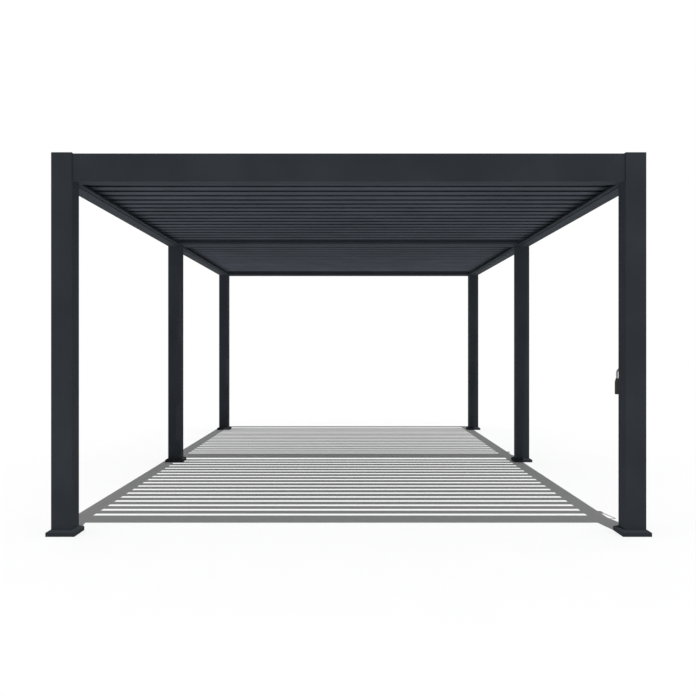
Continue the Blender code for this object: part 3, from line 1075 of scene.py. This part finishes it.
    def _arm(self, bench: Bench) -> None:
        """Model the arm, its pin and the clip that keeps the link bar on."""
        bench.cube(Vector((self.arm_low, -self.arm_half, -self.arm_half)),
                   Vector((self.arm_high, self.arm_radius + self.arm_half, self.arm_half)))
        bench.round_off(lambda spot: spot.runs(ACROSS), self.arm_half * self.arm_round, 6)
        bench.round_off(lambda spot: spot.place.x > self.arm_high - HAIR, self.arm_edge, 2)
        bpy.ops.mesh.select_all(action="SELECT")
        bpy.ops.transform.rotate(
            value=-self.arm_turn, orient_axis="X", orient_type="GLOBAL",
            center_override=(0.0, 0.0, 0.0))
        bench.park(STEEL)
        pin = self.arm_pin(0.0)
        bench.turned(ACROSS * self.arm_low + pin, ACROSS * self.pin_end + pin, self.pin_radius,
                     self.screw_sides, self.arm_edge, STEEL)
        bench.turned(ACROSS * self.clip_low + pin, ACROSS * self.clip_high + pin,
                     self.clip_radius, self.clip_sides, self.arm_edge / 2, STEEL, segments=1)

    def pattern(self) -> bpy.types.Object:
        """Model the blade that the others are copied from, closed about the origin."""
        bench = Bench("blade_pattern")
        self._body(bench)
        self._caps(bench)
        self._seal(bench)
        self._pivots(bench)
        self._screws(bench)
        self._arm(bench)
        return bench.done()


@dataclass(frozen=True)
class Bay:
    """One bay of blades with the bar that links them.

    Attributes:
        row: The end of the pergola that the bay is at.
        blade: The form of its blades.
        bar_edge: Radius of the link bar's edges.
        bar_round: Radius of its long corners, as a share of its height.
        pin_room: Room round an arm pin in the link bar's hole.
        hole_sides: Sides of such a hole.
    """

    row: Row
    blade: Blade = Blade()
    bar_edge: float = 0.0010
    bar_round: float = 0.42
    pin_room: float = 0.0002
    hole_sides: int = 16

    def pivots(self) -> list[Vector]:
        """Return the blades' pivots, from front to rear."""
        name = self.row.name.lower()
        return [Vector(joint["pos_m"]) for joint in frame["joints"]
                if joint["child"].startswith(f"{name}_louvre_")]

    def blades(self, pattern: bpy.types.Object) -> None:
        """Copy the pattern blade to each pivot, turned to its rest angle."""
        name = self.row.name.lower()
        turn = Matrix.Rotation(self.blade.rest_turn, 4, "X")
        for number, pivot in enumerate(self.pivots(), start=1):
            piece = copied(pattern, f"blade_{name}_{number:02d}", Matrix.Translation(pivot) @ turn)
            settle(piece, f"{name}_louvre_{number:02d}", "louvre_coating",
                   f"louvre_{name}_{number:02d}")

    def link_bar(self) -> bpy.types.Object:
        """Model the flat bar with a hole at each arm pin.

        Returns:
            The finished link bar.
        """
        name = self.row.name.lower()
        node = f"link_bar_{name}"
        low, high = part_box(node)
        pivots = self.pivots()
        pin = self.blade.arm_pin(self.blade.rest_turn)
        drills = Bench(f"drills_{name}")
        for pivot in pivots:
            place = pivot + pin
            drills.rod(ACROSS * (low.x - self.bar_edge) + place,
                       ACROSS * (high.x + self.bar_edge) + place,
                       self.blade.pin_radius + self.pin_room, self.hole_sides)
        drills.park(STEEL)
        cutter = drills.done()
        bench = Bench(f"plated_{node}")
        bench.cube(low, high)
        bench.round_off(lambda spot: spot.runs(ACROSS), (high.z - low.z) * self.bar_round, 6)
        bench.round_off(lambda spot: abs(abs(spot.place.x) - abs(high.x)) < HAIR
                        or abs(abs(spot.place.x) - abs(low.x)) < HAIR, self.bar_edge / 2, 1)
        bench.park(STEEL)
        piece = bench.done()
        holes = piece.modifiers.new("pin_holes", "BOOLEAN")
        holes.operation = "DIFFERENCE"
        holes.solver = "EXACT"
        holes.object = cutter
        bpy.ops.object.modifier_apply(modifier=holes.name)
        discard(cutter)
        return settle(piece, f"{name}_link", "plated_steel", node)


@dataclass(frozen=True)
class PivotBushes:
    """The flanged bushes that the pivots turn in, one row along each side beam.

    Attributes:
        flange: Radius of a bush's flange.
        bore: Radius of its hole.
        proud: How far the flange stands in from the web.
        web: Where the web's inner face is.
        seat: Gap between a flange and the web.
        sides: Sides of a bush.
    """

    flange: float = 0.0125
    bore: float = 0.0063
    proud: float = 0.0016
    web: float = 1.751
    seat: float = 0.0002
    sides: int = 28

    def build(self, side: Side, row: Row, pivots: list[Vector]) -> bpy.types.Object:
        """Model the bushes of one side beam as one piece.

        Args:
            side: The side of the beam.
            row: The end of the pergola that the bay is at.
            pivots: The pivots of the bay.

        Returns:
            The finished row of bushes.
        """
        name = f"pivot_bushes_{side.name.lower()}_{row.name.lower()}"
        way = ACROSS * side.value
        bench = Bench(name)
        for pivot in pivots:
            place = Vector((0.0, pivot.y, pivot.z))
            bench.rod(way * (self.web - self.proud) + place, way * (self.web - self.seat) + place,
                      self.flange, self.sides)
        for facing in (way, -way):
            bench.pick(Pick.FACES, lambda spot, facing=facing: spot.faces(facing))
            bench.inset(self.flange - self.bore)
            bpy.ops.mesh.delete(type="FACE")
        bpy.ops.mesh.select_all(action="DESELECT")
        bpy.context.tool_settings.mesh_select_mode = Pick.EDGES.value
        bpy.ops.mesh.select_non_manifold()
        bpy.ops.mesh.bridge_edge_loops(type="PAIRS")
        bench.round_off(
            lambda spot: spot.place.dot(way) < self.web - self.proud + HAIR, self.proud / 4, 2)
        bench.park(NYLON)
        return settle(bench.done(), "root", "frame_coating")


@dataclass(frozen=True)
class Gearbox:
    """A worm gearbox in a moulded housing, with a sleeve for the crank.

    Attributes:
        edge: Radius of the housing's outer edges.
        border: Width of the frame round the lid.
        lid_sink: How far the lid lies under that frame.
        screw: Radius of a lid screw's head.
        screw_rim: Width of a screw's rim, as a share of that radius.
        screw_sink: Depth of a screw's hole, as a share of how far the lid lies in.
        screw_in: Distance of the screws from the housing's sides.
        screw_sides: Sides of a screw's head.
        sleeve: Radius of the sleeve.
        sleeve_sides: Sides of the sleeve and its ring.
        sleeve_edge: Radius of the edge of the sleeve's mouth.
        sleeve_length: Length of the sleeve.
        collar_radius: Radius of the ring round the sleeve's mouth.
        collar: Height of that ring's top over the mouth.
        collar_edge: Radius of the ring's edges.
        socket: Radius of the hole for the rod.
        socket_depth: Depth of that hole.
        axis_x: Where the crank's axis is.
    """

    edge: float = 0.004
    border: float = 0.005
    lid_sink: float = 0.0010
    screw: float = 0.0034
    screw_rim: float = 0.45
    screw_sink: float = 0.8
    screw_in: float = 0.0125
    screw_sides: int = 16
    sleeve: float = 0.0082
    sleeve_sides: int = 28
    sleeve_edge: float = 0.0006
    sleeve_length: float = 0.045
    collar_radius: float = 0.009
    collar: float = 0.012
    collar_edge: float = 0.0008
    socket: float = 0.0063
    socket_depth: float = 0.020
    axis_x: float = 1.805

    def build(self, row: Row) -> bpy.types.Object:
        """Model one gearbox at its node's place.

        Args:
            row: The end of the pergola that its bay is at.

        Returns:
            The finished gearbox.
        """
        node = f"gearbox_{row.name.lower()}"
        low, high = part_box(node)
        bottom = low.z + self.sleeve_length
        centre = (low + high) / 2
        bench = Bench(f"moulded_{node}")
        bench.cube(Vector((low.x, low.y, bottom)), high)
        bench.round_off(lambda spot: spot.place.x > low.x + self.edge, self.edge, 4)
        bench.pick(Pick.FACES, lambda spot: spot.faces(ACROSS))
        bench.inset(self.border)
        bench.inset(self.lid_sink, -self.lid_sink)
        bench.park(HOUSING)
        lid = high.x - self.lid_sink
        for y in (low.y + self.screw_in, high.y - self.screw_in):
            for z in (bottom + self.screw_in, high.z - self.screw_in):
                bench.rod(Vector((lid - HAIR, y, z)), Vector((high.x, y, z)), self.screw,
                          self.screw_sides)
                bench.drill(lambda spot: spot.faces(ACROSS), self.screw * self.screw_rim,
                            ACROSS * -self.lid_sink * self.screw_sink)
                bench.park(STEEL)
        axis = Vector((self.axis_x, centre.y, 0.0))
        bench.rod(axis + UP * low.z, axis + UP * (bottom + self.edge), self.sleeve,
                  self.sleeve_sides)
        bench.drill(lambda spot: spot.faces(-UP), self.sleeve - self.socket, UP * self.socket_depth)
        bench.round_off(lambda spot: spot.place.z < low.z + HAIR, self.sleeve_edge, 2)
        bench.park(HOUSING)
        bench.rod(axis + UP * (low.z + self.collar), axis + UP * (low.z + self.collar / 2),
                  self.collar_radius, self.sleeve_sides)
        bench.round_off(lambda spot: not spot.runs(UP), self.collar_edge, 2)
        bench.park(HOUSING)
        return settle(bench.done(), "root", "gearbox_housing", node)


@dataclass(frozen=True)
class Crank:
    """The hand crank under the front gearbox: a bent rod and a ribbed grip.

    Attributes:
        radius: Radius of the rod.
        bend: Radius of its bends, to the rod's middle.
        throw: How far the grip hangs from the crank's axis.
        axis_x: Where the crank's axis is.
        throw_z: Height of the level part of the rod.
        top_edge: Radius of the edge of the rod's top.
        steps: Steps round each bend.
        sides: Sides of the rod.
        socket: How deep the rod stands in the grip.
        neck: Radius of the grip's neck.
        shoulder: Length of the grip's neck and shoulder.
        taper: Length over which the grip widens.
        crown: The grip's width where the shoulder starts, as a share of its full width.
        flare: Its width halfway up the shoulder, as a multiple of the neck's.
        foot: Height of the grip's rounded foot.
        foot_steps: Share of that height and change of width of each step down the foot.
        rib_depth: Depth of the flutes between the grip's ribs.
        rib_rim: Width left round a flute.
        ribs: Number of the grip's sides, of which every second one is a flute.
    """

    radius: float = 0.006
    bend: float = 0.030
    throw: float = 0.074
    axis_x: float = 1.805
    throw_z: float = 1.005
    top_edge: float = 0.0006
    steps: int = 10
    sides: int = 20
    socket: float = 0.019
    neck: float = 0.009
    shoulder: float = 0.018
    taper: float = 0.024
    crown: float = 0.96
    flare: float = 1.12
    foot: float = 0.004
    foot_steps: tuple[tuple[float, float], ...] = ((0.6, 0.93), (0.4, 0.8))
    rib_depth: float = 0.0007
    rib_rim: float = 0.0004
    ribs: int = 32

    def rod(self) -> bpy.types.Object:
        """Model the rod by extruding and spinning its lower end.

        Returns:
            The finished rod.
        """
        low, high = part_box("crank_rod")
        grip_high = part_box("crank_grip")[1]
        y = (low.y + high.y) / 2
        top = Vector((self.axis_x, y, high.z))
        knee = Vector((self.axis_x, y, self.throw_z + self.bend))
        bench = Bench("bent_crank_rod")
        bench.rod(knee, top, self.radius, self.sides)
        bench.round_off(lambda spot: spot.place.z > high.z - HAIR, self.top_edge, 2)
        bench.pick(Pick.FACES, lambda spot: spot.faces(-UP) and spot.place.z < knee.z + HAIR)
        first = knee - ACROSS * self.bend
        bpy.ops.mesh.spin(steps=self.steps, angle=math.radians(-90), center=first, axis=(0, 1, 0))
        bench.pull(-ACROSS * (self.throw - 2 * self.bend))
        second = Vector((self.axis_x - self.throw + self.bend, y, self.throw_z - self.bend))
        bpy.ops.mesh.spin(steps=self.steps, angle=math.radians(90), center=second, axis=(0, 1, 0))
        bench.pull(-UP * (self.throw_z - self.bend - grip_high.z + self.socket))
        bench.park(ROD_STEEL)
        return settle(bench.done(), "crank", "plated_steel", "crank_rod")

    def grip(self) -> bpy.types.Object:
        """Model the grip from its foot up, with flutes between the ribs.

        Returns:
            The finished grip.
        """
        low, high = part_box("crank_grip")
        half = (high.x - low.x) / 2
        middle = (low + high) / 2
        axis = Vector((middle.x, middle.y, 0.0))
        bench = Bench("moulded_crank_grip")
        bench.rod(axis + UP * (low.z + self.foot), axis + UP * (high.z - self.taper), half,
                  self.ribs)
        bench.pick(Pick.FACES, lambda spot: spot.faces(UP))
        bench.pull(UP * (self.taper - self.shoulder))
        bench.widen(self.crown, axis)
        bench.pull(UP * (self.shoulder / 2))
        bench.widen(self.neck / (half * self.crown) * self.flare, axis)
        bench.pull(UP * (self.shoulder / 2))
        bench.widen(1 / self.flare, axis)
        bench.inset(self.neck - self.radius - 2 * HAIR)
        bench.pull(-UP * (self.socket + HAIR))
        bench.pick(Pick.FACES, lambda spot: spot.faces(-UP)
                   and spot.place.z < low.z + self.foot + HAIR)
        for share, factor in self.foot_steps:
            bench.pull(-UP * (self.foot * share))
            bench.widen(factor, axis)
        side_low = low.z + self.foot
        side_high = high.z - self.taper
        bench.pick(Pick.FACES, lambda spot: side_low < spot.place.z < side_high
                   and abs(spot.normal.z) < 0.1 and self._is_flute(spot, middle)
                   and (spot.place - axis).xy.length > half * 0.9)
        bpy.ops.mesh.inset(thickness=self.rib_rim, depth=-self.rib_depth, use_individual=True)
        bench.park(GRIP_PLASTIC)
        return settle(bench.done(), "crank", "grip_plastic", "crank_grip")

    def _is_flute(self, spot: Spot, middle: Vector) -> bool:
        """Say whether a side face is one of every second one.

        Args:
            spot: The side face.
            middle: The grip's middle.

        Returns:
            True where the face becomes a flute.
        """
        turn = math.atan2(spot.place.y - middle.y, spot.place.x - middle.x)
        step = int(math.floor((turn + math.pi) / (2 * math.pi) * self.ribs))
        return step % 2 == 0


@dataclass(frozen=True)
class Studio:
    """The floor, the light and the camera.

    Attributes:
        reach: Half the floor's width.
        sun: Strength of the sun lamp.
        sun_angle: The sun's width in the sky, which softens its shadows.
        sun_way: Which way the sun shines.
        ambient: Strength of the world's even light.
        floor_deep: The floor's darker tone, as sRGB hex.
        floor_pale: The floor's paler tone, as sRGB hex.
        fade_start: Distance from the middle where the floor starts to fade to white.
        fade_end: Distance where it is all white.
        camera_place: Where the camera stands, level and looking along +Y.
        lens: Focal length for a 36 mm sensor.
        shift: Sideways shift that the photo's framing needs.
    """

    reach: float = 60.0
    sun: float = 2.55
    sun_angle: float = math.radians(0.25)
    sun_way: tuple[float, float, float] = (-0.0265, 0.155, -1.0)
    ambient: float = 0.27
    floor_deep: str = "f9f9f9"
    floor_pale: str = "fbfbfb"
    fade_start: float = 4.5
    fade_end: float = 14.0
    camera_place: tuple[float, float, float] = (0.0, -7.529, 1.136)
    lens: float = 38.75
    shift: float = -0.001

    def floor(self) -> None:
        """Lay a plain pale floor that fades to white far off and keeps the shadow."""
        bench = Bench("studio_floor")
        bpy.ops.mesh.primitive_plane_add(size=2 * self.reach, location=(0.0, 0.0, 0.0))
        bpy.ops.mesh.subdivide(number_cuts=3)
        bpy.ops.object.mode_set(mode="OBJECT")
        piece = bench.piece
        material, tree = new_tree("pale_floor")
        place = add_node(tree, "ShaderNodeTexCoord").outputs["Object"]
        grain = add_node(tree, "ShaderNodeTexNoise", inputs={
            "Vector": place, "Scale": 3.0, "Detail": 4.0})
        colour = two_tone(tree, grain.outputs["Fac"], self.floor_deep, self.floor_pale)
        matt = add_node(tree, "ShaderNodeBsdfDiffuse", inputs={"Color": colour})
        far = add_node(tree, "ShaderNodeVectorMath", {"operation": "LENGTH"}, {0: place})
        fade = add_node(tree, "ShaderNodeMapRange", {"interpolation_type": "SMOOTHSTEP"}, {
            "Value": far.outputs["Value"], "From Min": self.fade_start, "From Max": self.fade_end})
        seen = self._seen(tree)
        share = add_node(tree, "ShaderNodeMath", {"operation": "MULTIPLY"}, {
            0: fade.outputs["Result"], 1: seen})
        white = add_node(tree, "ShaderNodeEmission", inputs={"Color": (1.0, 1.0, 1.0, 1.0)})
        mixed = add_node(tree, "ShaderNodeMixShader", inputs={
            0: share.outputs["Value"], 1: matt.outputs["BSDF"], 2: white.outputs["Emission"]})
        close_tree(tree, mixed.outputs["Shader"])
        piece.data.materials.append(material)

    def _seen(self, tree: bpy.types.NodeTree) -> bpy.types.NodeSocket:
        """Return 1 for rays that show the background: camera, glossy and transmission."""
        path = add_node(tree, "ShaderNodeLightPath")
        first = add_node(tree, "ShaderNodeMath", {"operation": "MAXIMUM"}, {
            0: path.outputs["Is Camera Ray"], 1: path.outputs["Is Glossy Ray"]})
        both = add_node(tree, "ShaderNodeMath", {"operation": "MAXIMUM"}, {
            0: first.outputs["Value"], 1: path.outputs["Is Transmission Ray"]})
        return both.outputs["Value"]

    def light(self) -> None:
        """Hang the sun and set the world's even light."""
        lamp = bpy.data.lights.new("sun", "SUN")
        lamp.energy = self.sun
        lamp.angle = self.sun_angle
        sun = bpy.data.objects.new("sun", lamp)
        sun.rotation_euler = Vector(self.sun_way).to_track_quat("-Z", "Y").to_euler()
        bpy.context.scene.collection.objects.link(sun)
        world = bpy.data.worlds.new("studio")
        bpy.context.scene.world = world
        world.use_nodes = True
        tree = world.node_tree
        tree.nodes.clear()
        even = add_node(tree, "ShaderNodeBackground", inputs={
            "Color": (1.0, 1.0, 1.0, 1.0), "Strength": self.ambient})
        white = add_node(tree, "ShaderNodeBackground", inputs={
            "Color": (1.0, 1.0, 1.0, 1.0), "Strength": 1.0})
        mixed = add_node(tree, "ShaderNodeMixShader", inputs={
            0: self._seen(tree), 1: even.outputs["Background"], 2: white.outputs["Background"]})
        add_node(tree, "ShaderNodeOutputWorld", inputs={"Surface": mixed.outputs["Shader"]})

    def camera(self) -> None:
        """Stand the camera at the photo's place."""
        lens = bpy.data.cameras.new("camera")
        lens.sensor_width = 36.0
        lens.lens = self.lens
        lens.shift_x = self.shift
        lens.clip_end = 300.0
        item = bpy.data.objects.new("camera", lens)
        item.location = self.camera_place
        item.rotation_euler = (math.radians(90), 0.0, 0.0)
        bpy.context.scene.collection.objects.link(item)
        bpy.context.scene.camera = item

    def set_up(self) -> None:
        """Build the whole studio."""
        bpy.context.scene.view_settings.view_transform = "Standard"
        self.camera()
        self.floor()
        self.light()


def main() -> None:
    """Build the pergola's pieces in order, from the ground up."""
    logging.basicConfig(level=logging.INFO, format="%(message)s")
    Studio().set_up()
    bays = [Bay(Row.FRONT), Bay(Row.REAR)]
    beams = Beams()
    for row in Row:
        for side in Side:
            BaseCover().build(row, side)
            Post().build(row, side)
    for bay in bays:
        for side in Side:
            beams.side(side, bay.row)
            PivotBushes().build(side, bay.row, bay.pivots())
    pivot_z = bays[0].pivots()[0].z
    beams.end(Row.FRONT, pivot_z)
    beams.end(Row.REAR, pivot_z)
    beams.middle(pivot_z)
    pattern = Blade().pattern()
    for bay in bays:
        bay.blades(pattern)
        bay.link_bar()
        Gearbox().build(bay.row)
    discard(pattern)
    crank = Crank()
    crank.rod()
    crank.grip()


if __name__ == "__main__":
    main()
